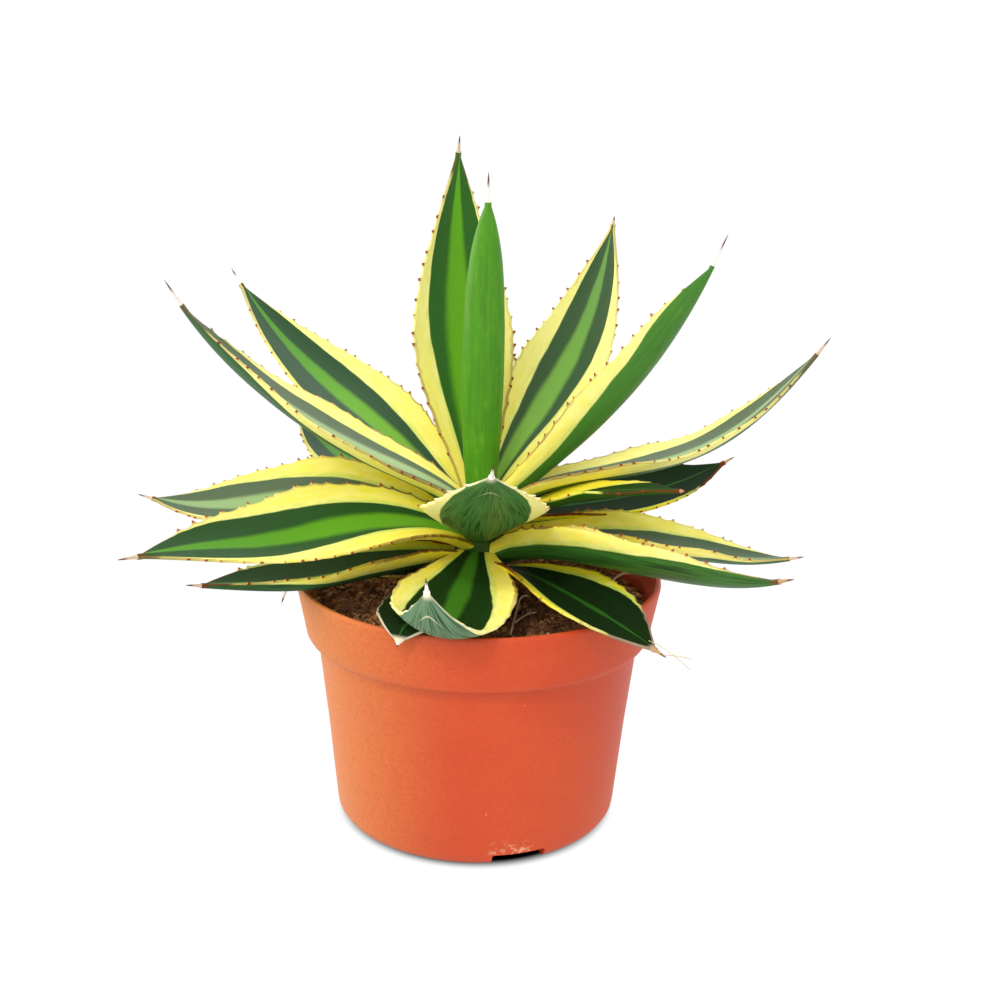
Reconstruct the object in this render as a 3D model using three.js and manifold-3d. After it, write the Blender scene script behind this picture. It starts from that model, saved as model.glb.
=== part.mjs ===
// A young variegated agave in a round plastic nursery pot.
// Millimetres, +Z up. The origin is the middle of the pot's flat foot.
import * as THREE from "three";
import * as BufferGeometryUtils from "three/addons/utils/BufferGeometryUtils.js";
import Module from "manifold-3d";

const wasm = await Module();
wasm.setup();

// Driving dimensions
const seatGap = 0.3;
const slantGap = 1.6 * seatGap;  // the same gap, measured level beside a slanted wall

const potHeight = 84.4;
const lipRadius = 61.5;
const bandHeight = 19.6;
const bandFootRadius = 58;
const stepRadius = 54;
const footRadius = 48;
const footCorner = 5.4;
const cornerSteps = 3;
const wallThickness = 1.6;
const floorThickness = 2.4;
const innerCornerHeight = 9;
const innerCornerRun = 4;
const bandUndercut = 2.5;
const bandShelf = 1.4;
const lipBevel = 1;
const lipTaper = 0.6;
const stepDrop = 2;
const innerStepRise = 4;
const potSides = 48;

const footRecess = 1;
const recessInnerRadius = 12;
const recessOuterRadius = 37;

const drainSlots = 3;
const firstSlotTurn = -71.5;
const slotWidth = 18;
const slotHeight = 4.6;
const slotDepth = 12;

const soilHeight = 75.5;
const soilMound = 2.5;
const soilEdgeDrop = 1;
const soilShoulder = 40;

const crownRadius = 8.5;
const crownTop = 117;
const crownFoot = 62;
const crownSides = 16;
const crownShoulder = 22;
const crownTaper = [[1.5, 10], [4, 3]];  // in from the crown's side, and down from its top
const crownTipGrowth = 1.3;
const rootRadius = 3;
const midribSteps = 60;

const toothHeight = 1.7;
const toothLength = 2.4;
const teethPerEdge = 8;
const firstTooth = 0.16;
const lastTooth = 0.86;
const spineRadius = 0.9;
const pointGrowth = 4;  // a sharp point has to grow by more than the faces beside it

// Thickness of a leaf of the usual width: at its edge, and along its midrib at the root, blade and tip
const usualWidth = 34;
const edgeThickness = 0.9;
const rootThickness = 4.6;
const bladeThickness = 3;
const tipThickness = 1.7;
const fleshyShare = 0.3;
const leastSwell = 0.2;

// The leaf's outline: a neck, the widest place just short of the middle, then a long point
const neckShare = 0.3;
const bellyPlace = 0.47;
const neckPower = 1.25;
const usualPoint = 1.75;

// One row per leaf, from the heart outwards. base: compass turn of its root and its height on the crown. turn
// and rise: compass turn and slope along the leaf, root to tip, in degrees. cup: how far each edge curls up
// from the middle, in degrees. roll: twist about the leaf's own length. length, width and spine are in
// millimetres. point: how blunt its tip is, where that differs. Leaves 20 to 23 are on the far side.
const leaves = {
  leaf_02: { base: [-84, 108], turn: [-84, -84], rise: [86, 84, 85, 88, 92], roll: [0, 0],
    cup: [70, 150, 150, 100], length: 99.5, width: 32, spine: 9, point: 2.4 },
  leaf_01: { base: [104, 110], turn: [106, 118], rise: [66, 64, 72, 88, 99], roll: [-22, 6],
    cup: [60, 40, 44], length: 115.5, width: 37, spine: 5.5, point: 1.5 },
  leaf_03: { base: [57, 107], turn: [56, 53], rise: [48, 36, 42, 60, 76], roll: [22, 18],
    cup: [85, 47, 50], length: 117, width: 34, spine: 3, point: 1.6 },
  leaf_04: { base: [2, 107], turn: [2, 5], rise: [33, 41, 49, 57, 66], roll: [-12, -30, -32],
    cup: [90, 58, 75], length: 108, width: 32, spine: 11, point: 2.3 },
  leaf_12: { base: [190, 106], turn: [190, 193], rise: [36, 26, 34, 44, 58], roll: [-14, 2],
    cup: [56, 37, 48], length: 116, width: 33, spine: 9 },
  leaf_13: { base: [145, 104], turn: [145, 144], rise: [25, 31, 26, 35, 48], roll: [-13, -5],
    cup: [60, 38, 38], length: 125, width: 38, spine: 7, point: 1.55 },
  leaf_11: { base: [-88, 98], turn: [-88, -86], rise: [20, 24, 32, 40], roll: [0, 0],
    cup: [60, 26, 18], length: 88, width: 40, spine: 8 },
  leaf_05: { base: [6, 104], turn: [6, 5], rise: [38, 10, 16, 40, 53], roll: [-10, 0],
    cup: [56, 35, 30], length: 124, width: 30, spine: 7 },
  leaf_20: { base: [78, 102], turn: [78, 80], rise: [26, 20, 12, 14, 24], roll: [6, 0],
    cup: [70, 44, 38], length: 108, width: 34, spine: 6 },
  leaf_19: { base: [-24, 99], turn: [-24, -24], rise: [32, 26, 12, 8], roll: [-4, -4],
    cup: [56, 24, 20], length: 70, width: 29, spine: 2 },
  leaf_14: { base: [168, 98], turn: [168, 163], rise: [18, 6, -8, -8, 9], roll: [-10, -24, -22],
    cup: [62, 40, 30], length: 118, width: 36, spine: 6 },
  leaf_17: { base: [132, 99.5], turn: [132, 134], rise: [12, 4, 8, 40], roll: [-8, -14],
    cup: [70, 44, 36], length: 104, width: 34, spine: 5 },
  leaf_07: { base: [-3, 95], turn: [-3, -2], rise: [2, 0, -4, -6, 10], roll: [4, 0],
    cup: [80, 60, 44], length: 100, width: 33, spine: 5 },
  leaf_06: { base: [34, 101], turn: [33, 30], rise: [4, -2, 6, 20], roll: [12, 18],
    cup: [56, 36, 31], length: 101.5, width: 33, spine: 5 },
  leaf_15: { base: [213, 94], turn: [213, 216], rise: [34, 12, -2, 6, 1], roll: [-22, -24],
    cup: [56, 36, 32], length: 118, width: 36, spine: 6 },
  leaf_21: { base: [114, 93], turn: [114, 116], rise: [20, 8, -2, 2, 8], roll: [-6, 0],
    cup: [70, 44, 38], length: 104, width: 34, spine: 6 },
  leaf_23: { base: [58, 92], turn: [58, 56], rise: [14, 2, -6, -2, 8], roll: [8, 0],
    cup: [70, 46, 40], length: 98, width: 33, spine: 6 },
  leaf_16: { base: [200, 89], turn: [200, 202], rise: [6, -4, -6, 5, 8], roll: [6, -4],
    cup: [80, 54, 60], length: 90, width: 34, spine: 5 },
  leaf_08: { base: [-38, 88], turn: [-38, -44], rise: [32, 8, 4, 8, 22], roll: [-26, -28],
    cup: [75, 55, 55], length: 114, width: 34, spine: 5 },
  leaf_22: { base: [94, 86], turn: [92, 90], rise: [8, 2, -3, -2, 6], roll: [4, 0],
    cup: [70, 44, 38], length: 92, width: 33, spine: 5 },
  leaf_10: { base: [-99, 92], turn: [-99, -99, -100, -101], rise: [-6, -9, -7, -3, 8, 48, 72],
    roll: [0, -2, -16], cup: [32, 26], length: 88, width: 40, spine: 5 },
  leaf_09: { base: [-46, 85], turn: [-46, -62], rise: [17, -1, -2, -2], roll: [-20, 20],
    cup: [56, 36, 30], length: 86, width: 31, spine: 6 },
  leaf_24: { base: [-114, 82], turn: [-110, -110], rise: [5, 4, 4, 4, 4, 4, 4, 3, -52], roll: [0, 0],
    cup: [30, 10], length: 64, width: 30, spine: 1.5, point: 4 },
  leaf_18: { base: [194, 83.1], turn: [194, 194], rise: [6, 5, 4, 3, 3, 2, 2, -2, -72], roll: [0, 0],
    cup: [40, 30], length: 63.5, width: 14, spine: 5 },
};

function solidFrom(geometry) {
  const bare = geometry.clone();
  bare.deleteAttribute("normal");
  bare.deleteAttribute("uv");
  const merged = BufferGeometryUtils.mergeVertices(bare, 1e-4);
  return new wasm.Manifold(new wasm.Mesh({
    numProp: 3,
    vertProperties: new Float32Array(merged.attributes.position.array),
    triVerts: new Uint32Array(merged.index.array),
  }));
}

function geometryFrom(solid) {
  const mesh = solid.getMesh();
  const geometry = new THREE.BufferGeometry();
  geometry.setAttribute("position", new THREE.BufferAttribute(mesh.vertProperties, 3));
  geometry.setIndex(new THREE.BufferAttribute(mesh.triVerts, 1));
  return geometry;
}

// A lathe about +Z from [radius, height] points
function turned(points, sides) {
  const profile = points.map(([radius, height]) => new THREE.Vector2(radius, height));
  return new THREE.LatheGeometry(profile, sides).rotateX(Math.PI / 2);
}

// A smooth run through evenly spaced values
function along(values, s) {
  const last = values.length - 1;
  const i = Math.min(Math.floor(s * last), last - 1);
  const t = s * last - i;
  const p1 = values[i];
  const p2 = values[i + 1];
  const p0 = i > 0 ? values[i - 1] : 2 * p1 - p2;
  const p3 = i + 2 <= last ? values[i + 2] : 2 * p2 - p1;
  return 0.5 * (2 * p1 + (p2 - p0) * t + (2 * p0 - 5 * p1 + 4 * p2 - p3) * t * t
    + (3 * p1 - p0 - 3 * p2 + p3) * t * t * t);
}

function halfWidth(leaf, s) {
  const point = leaf.point ?? usualPoint;
  const rise = neckShare + (1 - neckShare) * Math.sin(Math.min(s / bellyPlace, 1) * Math.PI / 2) ** neckPower;
  const beyond = Math.max((s - bellyPlace) / (1 - bellyPlace), 0);
  return Math.max(leaf.width / 2 * (s < bellyPlace ? rise : 1 - beyond ** point), spineRadius);
}

// Thickness at the midrib: fleshy at the root, thin at the tip
function midThickness(leaf, s) {
  const full = s < fleshyShare
    ? rootThickness + (bladeThickness - rootThickness) * s / fleshyShare
    : bladeThickness + (tipThickness - bladeThickness) * (s - fleshyShare) / (1 - fleshyShare);
  return full * leaf.width / usualWidth;
}

const radians = THREE.MathUtils.degToRad;

// Place and directions of the midrib at every station
function midrib(leaf, stations) {
  const frames = [];
  const [rootTurn, rootHeight] = leaf.base;
  const place = new THREE.Vector3(
    rootRadius * Math.cos(radians(rootTurn)), rootRadius * Math.sin(radians(rootTurn)), rootHeight);
  const heading = (s) => {
    const rise = radians(along(leaf.rise, s));
    const turn = radians(along(leaf.turn, s));
    return new THREE.Vector3(
      Math.cos(rise) * Math.cos(turn), Math.cos(rise) * Math.sin(turn), Math.sin(rise));
  };
  let s = 0;
  for (const station of stations) {
    const steps = Math.max(Math.ceil((station - s) * midribSteps), 1);
    const step = (station - s) / steps;
    for (let k = 0; k < steps; k++) {
      place.addScaledVector(heading(s + step / 2), step * leaf.length);
      s += step;
    }
    const ahead = heading(station);
    const turn = radians(along(leaf.turn, station));
    const level = new THREE.Vector3(-Math.sin(turn), Math.cos(turn), 0);
    const roll = radians(along(leaf.roll, station));
    const side = level.applyAxisAngle(ahead, roll);
    const above = new THREE.Vector3().crossVectors(ahead, side);
    frames.push({ station, place: place.clone(), ahead, side, above });
  }
  return frames;
}

// Points across the leaf, from one edge (-1) to the other (1)
const across = [-1, -0.5, 0, 0.5, 1];

// One closed ring of points: the upper face from edge to edge, then the lower face back
function ringPoints(leaf, frame, grow) {
  const half = halfWidth(leaf, frame.station) + grow;
  const cup = radians(along(leaf.cup, frame.station));
  const mid = midThickness(leaf, frame.station);
  const upper = [];
  const lower = [];
  for (const v of across) {
    const curl = cup * v;
    const sideways = half * Math.sin(curl) / cup;
    const upward = half * (1 - Math.cos(curl)) / cup;
    const thickness = edgeThickness + Math.max(mid - edgeThickness, leastSwell) * (1 - v * v);
    const middle = frame.place.clone().addScaledVector(frame.side, sideways)
      .addScaledVector(frame.above, upward);
    const facing = new THREE.Vector3().addScaledVector(frame.side, -Math.sin(curl))
      .addScaledVector(frame.above, Math.cos(curl));
    upper.push(middle.clone().addScaledVector(facing, thickness / 2 + grow));
    lower.unshift(middle.clone().addScaledVector(facing, -thickness / 2 - grow));
  }
  return [...upper, ...lower];
}

// The way out of the leaf at one edge, in the plane of the blade
function outward(leaf, frame, v) {
  const curl = radians(along(leaf.cup, frame.station)) * v;
  return new THREE.Vector3().addScaledVector(frame.side, Math.cos(curl))
    .addScaledVector(frame.above, Math.sin(curl)).multiplyScalar(v);
}

// One leaf as a closed surface, with a tooth at each toothed station and a spine at its tip
function leafGeometry(leaf, grow = 0) {
  const stations = [0];
  const toothed = [];
  for (let k = 0; k < teethPerEdge; k++) {
    const centre = firstTooth + (lastTooth - firstTooth) * k / (teethPerEdge - 1);
    const reach = toothLength / 2 / leaf.length;
    toothed.push(stations.length);
    stations.push(centre - reach, centre + reach);
  }
  stations.push(1);
  const frames = midrib(leaf, stations);
  const points = frames.flatMap((frame) => ringPoints(leaf, frame, grow));
  const size = 2 * across.length;
  const rightEdge = size - 1;
  const leftEdge = across.length - 1;
  const triangles = [];
  const ring = (i, k) => i * size + (k + size) % size;

  for (let i = 0; i < stations.length - 1; i++) {
    for (let k = 0; k < size; k++) {
      const [a, b] = [ring(i, k), ring(i, k + 1)];
      const [d, c] = [ring(i + 1, k), ring(i + 1, k + 1)];
      const onEdge = k === rightEdge || k === leftEdge;
      if (onEdge && toothed.includes(i)) {
        const frame = frames[i];
        const v = k === leftEdge ? 1 : -1;
        const tip = new THREE.Vector3();
        for (const corner of [a, b, c, d]) {
          tip.addScaledVector(points[corner], 0.25);
        }
        tip.addScaledVector(outward(leaf, frame, v), toothHeight + pointGrowth * grow)
          .addScaledVector(frame.ahead, toothLength / 4);
        const p = points.push(tip) - 1;
        triangles.push(a, d, p, d, c, p, c, b, p, b, a, p);
      } else if (k < leftEdge) {
        triangles.push(a, d, c, a, c, b);
      } else {
        triangles.push(a, d, b, b, d, c);
      }
    }
  }

  for (let j = 0; j < across.length - 1; j++) {
    const [up, upNext] = [ring(0, j), ring(0, j + 1)];
    const [low, lowNext] = [ring(0, size - 1 - j), ring(0, size - 2 - j)];
    triangles.push(up, upNext, lowNext, up, lowNext, low);
  }

  const last = stations.length - 1;
  const spineTip = frames[last].place.clone()
    .addScaledVector(frames[last].ahead, leaf.spine + pointGrowth * grow);
  const tip = points.push(spineTip) - 1;
  for (let k = 0; k < size; k++) {
    triangles.push(ring(last, k), tip, ring(last, k + 1));
  }

  const geometry = new THREE.BufferGeometry().setFromPoints(points);
  geometry.setIndex(triangles);
  return geometry;
}

function crownProfile(grow) {
  return [
    [0, crownFoot - grow],
    [crownRadius + grow, crownFoot - grow],
    [crownRadius + grow, crownTop - crownShoulder],
    ...crownTaper.map(([inset, drop]) => [crownRadius - inset + grow, crownTop - drop + grow]),
    [0, crownTop + crownTipGrowth * grow],
  ];
}

const stepHeight = potHeight - bandHeight;

// Radius of the pot's inner wall below the step
function wallRadius(height) {
  return footRadius + (stepRadius - footRadius) * height / stepHeight - wallThickness;
}

function pot() {
  const corner = [];
  for (let k = 0; k <= cornerSteps; k++) {
    const angle = -Math.PI / 2 + Math.PI / 2 * k / cornerSteps;
    const centre = footRadius - footCorner;
    corner.push([centre + footCorner * Math.cos(angle), footCorner + footCorner * Math.sin(angle)]);
  }
  const outer = [
    [0, 0],
    [recessInnerRadius, 0],
    [recessInnerRadius, footRecess],
    [recessOuterRadius, footRecess],
    [recessOuterRadius, 0],
    ...corner,
    [stepRadius, stepHeight - stepDrop],
    [bandFootRadius - bandShelf, stepHeight],
    [bandFootRadius, stepHeight + bandUndercut],
    [lipRadius - lipTaper, potHeight - lipBevel],
    [lipRadius - lipBevel, potHeight],
  ];
  const inner = [
    [lipRadius - wallThickness - lipTaper, potHeight],
    [lipRadius - wallThickness - lipBevel, potHeight - lipBevel],
    [bandFootRadius - wallThickness, stepHeight + innerStepRise],
    [stepRadius - wallThickness, stepHeight - stepDrop],
    [wallRadius(innerCornerHeight), innerCornerHeight],
    [wallRadius(innerCornerHeight) - innerCornerRun, floorThickness],
    [0, floorThickness],
  ];
  let solid = solidFrom(turned([...outer, ...inner], potSides));
  for (let k = 0; k < drainSlots; k++) {
    const slot = new THREE.BoxGeometry(slotDepth * 2, slotWidth, slotHeight * 2);
    slot.translate(footRadius, 0, 0).rotateZ(radians(firstSlotTurn + 360 / drainSlots * k));
    solid = solid.subtract(solidFrom(slot));
  }
  return geometryFrom(solid);
}

// The potting mix fills the pot to just below its lip, with a plain hole for the crown
function soil() {
  const holeRadius = crownRadius + seatGap;
  const holeFoot = crownFoot - seatGap;
  return turned([
    [0, floorThickness + seatGap],
    [wallRadius(innerCornerHeight) - innerCornerRun - seatGap, floorThickness + seatGap],
    [wallRadius(innerCornerHeight) - slantGap, innerCornerHeight + seatGap],
    [stepRadius - wallThickness - seatGap, stepHeight - stepDrop],
    [bandFootRadius - wallThickness - slantGap, stepHeight + innerStepRise],
    [bandFootRadius - wallThickness - seatGap, soilHeight - soilEdgeDrop],
    [soilShoulder, soilHeight],
    [holeRadius, soilHeight + soilMound],
    [holeRadius, holeFoot],
    [0, holeFoot],
  ], potSides);
}

function material(name, color, roughness) {
  return new THREE.MeshStandardMaterial({ name, color, roughness, metalness: 0 });
}

const clay = material("pot plastic", 0xc4592c, 0.5);
const earth = material("potting mix", 0x4a3020, 1);
const flesh = material("leaf flesh", 0x4f8a2c, 0.5);
const core = material("crown", 0x6a8a38, 0.6);

const plant = new THREE.Group();

function add(name, geometry, material) {
  const mesh = new THREE.Mesh(geometry, material);
  mesh.name = name;
  plant.add(mesh);
}

add("pot", pot(), clay);
add("soil", soil(), earth);
add("crown", turned(crownProfile(0), crownSides), core);

// From the heart outwards, each leaf is trimmed clear of the crown and of the younger leaves that it clasps
let taken = solidFrom(turned(crownProfile(seatGap), crownSides));
for (const [name, leaf] of Object.entries(leaves)) {
  const pieces = solidFrom(leafGeometry(leaf)).subtract(taken).decompose();
  pieces.sort((a, b) => b.volume() - a.volume());
  add(name, geometryFrom(pieces[0]), flesh);
  taken = taken.add(solidFrom(leafGeometry(leaf, seatGap)));
}

export default plant;
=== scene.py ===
import math
import random
import bpy
import bmesh
from mathutils import Matrix, Quaternion, Vector, noise


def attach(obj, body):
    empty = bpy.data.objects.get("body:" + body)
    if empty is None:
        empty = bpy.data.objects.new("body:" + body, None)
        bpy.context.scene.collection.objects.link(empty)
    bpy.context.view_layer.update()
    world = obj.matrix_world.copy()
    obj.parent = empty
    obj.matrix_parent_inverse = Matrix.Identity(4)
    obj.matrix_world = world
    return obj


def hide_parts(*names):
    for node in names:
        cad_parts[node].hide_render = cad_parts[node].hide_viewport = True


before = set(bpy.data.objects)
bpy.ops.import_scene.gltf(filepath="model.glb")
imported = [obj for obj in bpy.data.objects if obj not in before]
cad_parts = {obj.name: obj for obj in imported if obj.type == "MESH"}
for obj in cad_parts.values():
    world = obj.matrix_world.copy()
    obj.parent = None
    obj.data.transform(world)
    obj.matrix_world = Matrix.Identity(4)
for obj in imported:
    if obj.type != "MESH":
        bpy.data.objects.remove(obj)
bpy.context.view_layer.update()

mm = 0.001


# Small helpers for modelling by hand

def clearSelection():
    if bpy.context.mode != "OBJECT":
        bpy.ops.object.mode_set(mode="OBJECT")
    bpy.ops.object.select_all(action="DESELECT")


def pick(piece):
    clearSelection()
    piece.select_set(True)
    bpy.context.view_layer.objects.active = piece


def editAll(piece):  # in edit mode, with everything selected
    pick(piece)
    bpy.ops.object.mode_set(mode="EDIT")
    bpy.ops.mesh.select_all(action="SELECT")


def editEdges(piece, wanted):  # in edit mode, with just the wanted edges selected
    pick(piece)
    bpy.ops.object.mode_set(mode="EDIT")
    bpy.ops.mesh.select_mode(type="EDGE")
    bpy.ops.mesh.select_all(action="DESELECT")
    bpy.ops.object.mode_set(mode="OBJECT")
    for edge in piece.data.edges:
        edge.select = wanted([piece.data.vertices[v].co for v in edge.vertices])
    bpy.ops.object.mode_set(mode="EDIT")


def named(name):
    piece = bpy.context.active_object
    piece.name = name
    piece.data.name = name
    return piece


def settle(piece):  # the place goes into the mesh, and the object sits at the origin
    pick(piece)
    bpy.ops.object.transform_apply(location=True, rotation=True, scale=True)


def smoothed(piece, degrees=None):
    pick(piece)
    if degrees is None:
        bpy.ops.object.shade_smooth()
    else:
        bpy.ops.object.shade_smooth_by_angle(angle=math.radians(degrees))


def turnedPiece(name, profile, sides):
    # profile: radius and height in mm. A flat cap closes each of its ends.
    clearSelection()
    (radius, height), *rest = profile
    bpy.ops.mesh.primitive_circle_add(
        vertices=sides, radius=radius * mm, fill_type="NGON", location=(0, 0, height * mm))
    piece = named(name)
    settle(piece)
    editAll(piece)
    bpy.ops.mesh.select_mode(type="EDGE")
    bpy.ops.mesh.region_to_loop()
    for newRadius, newHeight in rest:
        rise = (newHeight - height) * mm
        bpy.ops.mesh.extrude_edges_move(TRANSFORM_OT_translate={"value": (0, 0, rise)})
        share = newRadius / radius
        bpy.ops.transform.resize(value=(share, share, 1), center_override=(0, 0, newHeight * mm))
        radius, height = newRadius, newHeight
    bpy.ops.mesh.edge_face_add()
    bpy.ops.mesh.select_all(action="SELECT")
    bpy.ops.mesh.normals_make_consistent(inside=False)
    clearSelection()
    return piece


def finished(piece, slotName, *nodes):
    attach(piece, "root")
    if nodes:
        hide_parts(*nodes)
    return piece


# Small helpers for materials

def tone(red, green, blue):  # a colour as a paint chart gives it, made linear by the sRGB curve
    parts = [c / 255 for c in (red, green, blue)]
    return tuple(p / 12.92 if p <= 0.04045 else ((p + 0.055) / 1.055) ** 2.4 for p in parts) + (1,)


def put(tree, kind, settings=None, **inputs):
    made = tree.nodes.new(kind)
    for name, value in (settings or {}).items():
        setattr(made, name, value)
    for name, value in inputs.items():
        fill(tree, made.inputs[name.replace("_", " ")], value)
    return made


def fill(tree, socket, value):
    if isinstance(value, bpy.types.NodeSocket):
        tree.links.new(value, socket)
    else:
        socket.default_value = value


def maths(tree, operation, a, b=0.0, clamp=False):
    made = tree.nodes.new("ShaderNodeMath")
    made.operation = operation
    made.use_clamp = clamp
    fill(tree, made.inputs[0], a)
    fill(tree, made.inputs[1], b)
    return made.outputs[0]


def plus(tree, a, b, clamp=False):
    return maths(tree, "ADD", a, b, clamp)


def minus(tree, a, b):
    return maths(tree, "SUBTRACT", a, b)


def times(tree, a, b, clamp=False):
    return maths(tree, "MULTIPLY", a, b, clamp)


def blendColours(tree, factor, a, b):
    made = tree.nodes.new("ShaderNodeMix")
    made.data_type = "RGBA"
    made.clamp_factor = True
    # sockets 0, 6 and 7 are the factor and the two colours, and output 2 is the mixed colour
    for socket, given in ((0, factor), (6, a), (7, b)):
        fill(tree, made.inputs[socket], given)
    return made.outputs[2]


def easeBetween(tree, value, low, high, start=0.0, end=1.0):
    made = tree.nodes.new("ShaderNodeMapRange")
    made.interpolation_type = "SMOOTHSTEP"
    for socket, given in zip(made.inputs, (value, low, high, start, end)):
        fill(tree, socket, given)
    return made.outputs[0]


def noiseAt(tree, vector, scale, detail, roughness=0.55):
    made = put(tree, "ShaderNodeTexNoise", Vector=vector, Scale=scale, Detail=detail, Roughness=roughness)
    return made.outputs[0]


def vectorOf(tree, x, y, z):
    return put(tree, "ShaderNodeCombineXYZ", X=x, Y=y, Z=z).outputs[0]


def objectCoordinates(tree):
    return tree.nodes.new("ShaderNodeTexCoord").outputs["Object"]


def axesOf(tree, place):
    return put(tree, "ShaderNodeSeparateXYZ", Vector=place).outputs


def attribute(tree, name):
    return put(tree, "ShaderNodeAttribute", {"attribute_name": name}).outputs["Fac"]


def freshMaterial(name):
    material = bpy.data.materials.new(name)
    material.use_nodes = True
    tree = material.node_tree
    return material, tree, tree.nodes["Principled BSDF"]


def cloudyMaterial(name, looks):  # a soft noise blends two colours
    material, tree, shader = freshMaterial(name)
    cloud = noiseAt(tree, objectCoordinates(tree), *looks["cloud"])
    fill(tree, shader.inputs["Base Color"], blendColours(tree, cloud, looks["dark"], looks["light"]))
    return material, tree, shader, cloud


def bumped(tree, shader, height, strength, distance):
    bump = put(tree, "ShaderNodeBump", Strength=strength, Distance=distance, Height=height)
    tree.links.new(bump.outputs[0], shader.inputs["Normal"])


def newGroup(name, takes, gives):
    tree = bpy.data.node_groups.new(name, "ShaderNodeTree")
    for direction, labels in (("INPUT", takes), ("OUTPUT", gives)):
        for label in labels:
            tree.interface.new_socket(name=label, in_out=direction, socket_type="NodeSocketFloat")
    return tree, tree.nodes.new("NodeGroupInput").outputs, tree.nodes.new("NodeGroupOutput").inputs


def useGroup(tree, group, **inputs):
    made = tree.nodes.new("ShaderNodeGroup")
    made.node_tree = group
    for name, value in inputs.items():
        fill(tree, made.inputs[name], value)
    return made.outputs


# Camera and studio

cameraView = {  # mm and degrees, and the clip distances in metres
    "target": (6.5, 0, 109.5), "distance": 490, "down": 16.6, "roll": 1.2, "lens": 53.3,
    "sensorWidth": 36, "clip": (0.02, 20),
}


def placeCamera():
    down, roll = math.radians(cameraView["down"]), math.radians(cameraView["roll"])
    ahead = Vector((0, math.cos(down), -math.sin(down)))
    up = Vector((0, math.sin(down), math.cos(down)))
    right = Vector((1, 0, 0))
    side = right * math.cos(roll) + up * math.sin(roll)
    top = up * math.cos(roll) - right * math.sin(roll)
    clearSelection()
    bpy.ops.object.camera_add(location=(Vector(cameraView["target"]) - ahead * cameraView["distance"]) * mm)
    camera = bpy.context.active_object
    camera.rotation_mode = "QUATERNION"
    camera.rotation_quaternion = Matrix((side, top, -ahead)).transposed().to_quaternion()
    camera.data.sensor_width = cameraView["sensorWidth"]
    camera.data.lens = cameraView["lens"]
    camera.data.clip_start, camera.data.clip_end = cameraView["clip"]
    bpy.context.scene.camera = camera


studio = {  # metres, watts and degrees
    # a sheet with a wall at its back edge, which lies beyond backFrom in Y, and a round curve between them
    "floor": {"size": 5, "middle": (0, 0.6, 0), "backFrom": 3, "wall": 3, "curve": 1.2, "curveSteps": 12},
    "lights": [  # name, place, aim, size, power, colour
        ("key", (-0.6, -1.1, 0.95), (0, 0, 0.12), 0.8, 7, (1, 0.97, 0.9)),
        ("leftWindow", (-1.15, 0.4, 0.5), (0, 0, 0.08), 0.9, 10, (1, 0.86, 0.62)),
        ("topWindow", (0.2, 0.9, 1.2), (0, 0, 0.13), 1.2, 6, (0.84, 0.93, 1)),
    ],
    # a soft spot on the heart of the plant: place, aim, width of its cone, size, power
    "spot": ((-0.15, -0.55, 0.7), (0.012, -0.035, 0.085), 12, 0.04, 7),
    "skyStrength": 1.02,
    # reach from the middle where the shadow under the pot ends: from, to, and the floor's glow at each
    "shadow": (0.0425, 0.0488, 0.0, 1.02),
}


def floorMaterial():  # a white sheet that glows like the air, with a soft shadow under the pot's foot
    material, tree, shader = freshMaterial("studioWhite")
    axes = axesOf(tree, objectCoordinates(tree))
    squares = [times(tree, axes[name], axes[name]) for name in ("X", "Y")]
    reach = maths(tree, "SQRT", plus(tree, *squares))
    shader.inputs["Base Color"].default_value = (0, 0, 0, 1)
    shader.inputs["Roughness"].default_value = 1
    shader.inputs["Specular IOR Level"].default_value = 0
    shader.inputs["Emission Color"].default_value = (1, 1, 1, 1)
    fill(tree, shader.inputs["Emission Strength"], easeBetween(tree, reach, *studio["shadow"]))
    return material


def makeFloor():
    sheet = studio["floor"]
    clearSelection()
    bpy.ops.mesh.primitive_plane_add(size=sheet["size"], location=sheet["middle"])
    floor = named("studioFloor")
    settle(floor)
    back, low = sheet["backFrom"], sheet["wall"] / 2
    editEdges(floor, lambda ends: all(end.y > back for end in ends))
    bpy.ops.mesh.extrude_edges_move(TRANSFORM_OT_translate={"value": (0, 0, sheet["wall"])})
    editEdges(floor, lambda ends: all(end.y > back and end.z < low for end in ends))
    bpy.ops.mesh.bevel(offset=sheet["curve"], segments=sheet["curveSteps"], affect="EDGES")
    smoothed(floor)
    floor.data.materials.append(floorMaterial())


def addLight(kind, name, place, aim, power):
    clearSelection()
    bpy.ops.object.light_add(type=kind, location=place)
    light = bpy.context.active_object
    light.name = name
    light.data.energy = power
    light.rotation_mode = "QUATERNION"
    light.rotation_quaternion = (Vector(aim) - Vector(place)).to_track_quat("-Z", "Y")
    return light.data


def lightStudio():
    for name, place, aim, size, power, colour in studio["lights"]:
        window = addLight("AREA", name, place, aim, power)
        window.size = size
        window.color = colour
    place, aim, cone, size, power = studio["spot"]
    heart = addLight("SPOT", "heartSpot", place, aim, power)
    heart.spot_size, heart.spot_blend = math.radians(cone), 1
    heart.shadow_soft_size = size

    world = bpy.data.worlds.new("studioAir")
    world.use_nodes = True
    air = world.node_tree.nodes["Background"]
    air.inputs["Color"].default_value = (1, 1, 1, 1)
    air.inputs["Strength"].default_value = studio["skyStrength"]
    bpy.context.scene.world = world
    bpy.context.scene.view_settings.view_transform = "Standard"


placeCamera()
makeFloor()
lightStudio()
print("studio ready")


# Leaves

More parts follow.
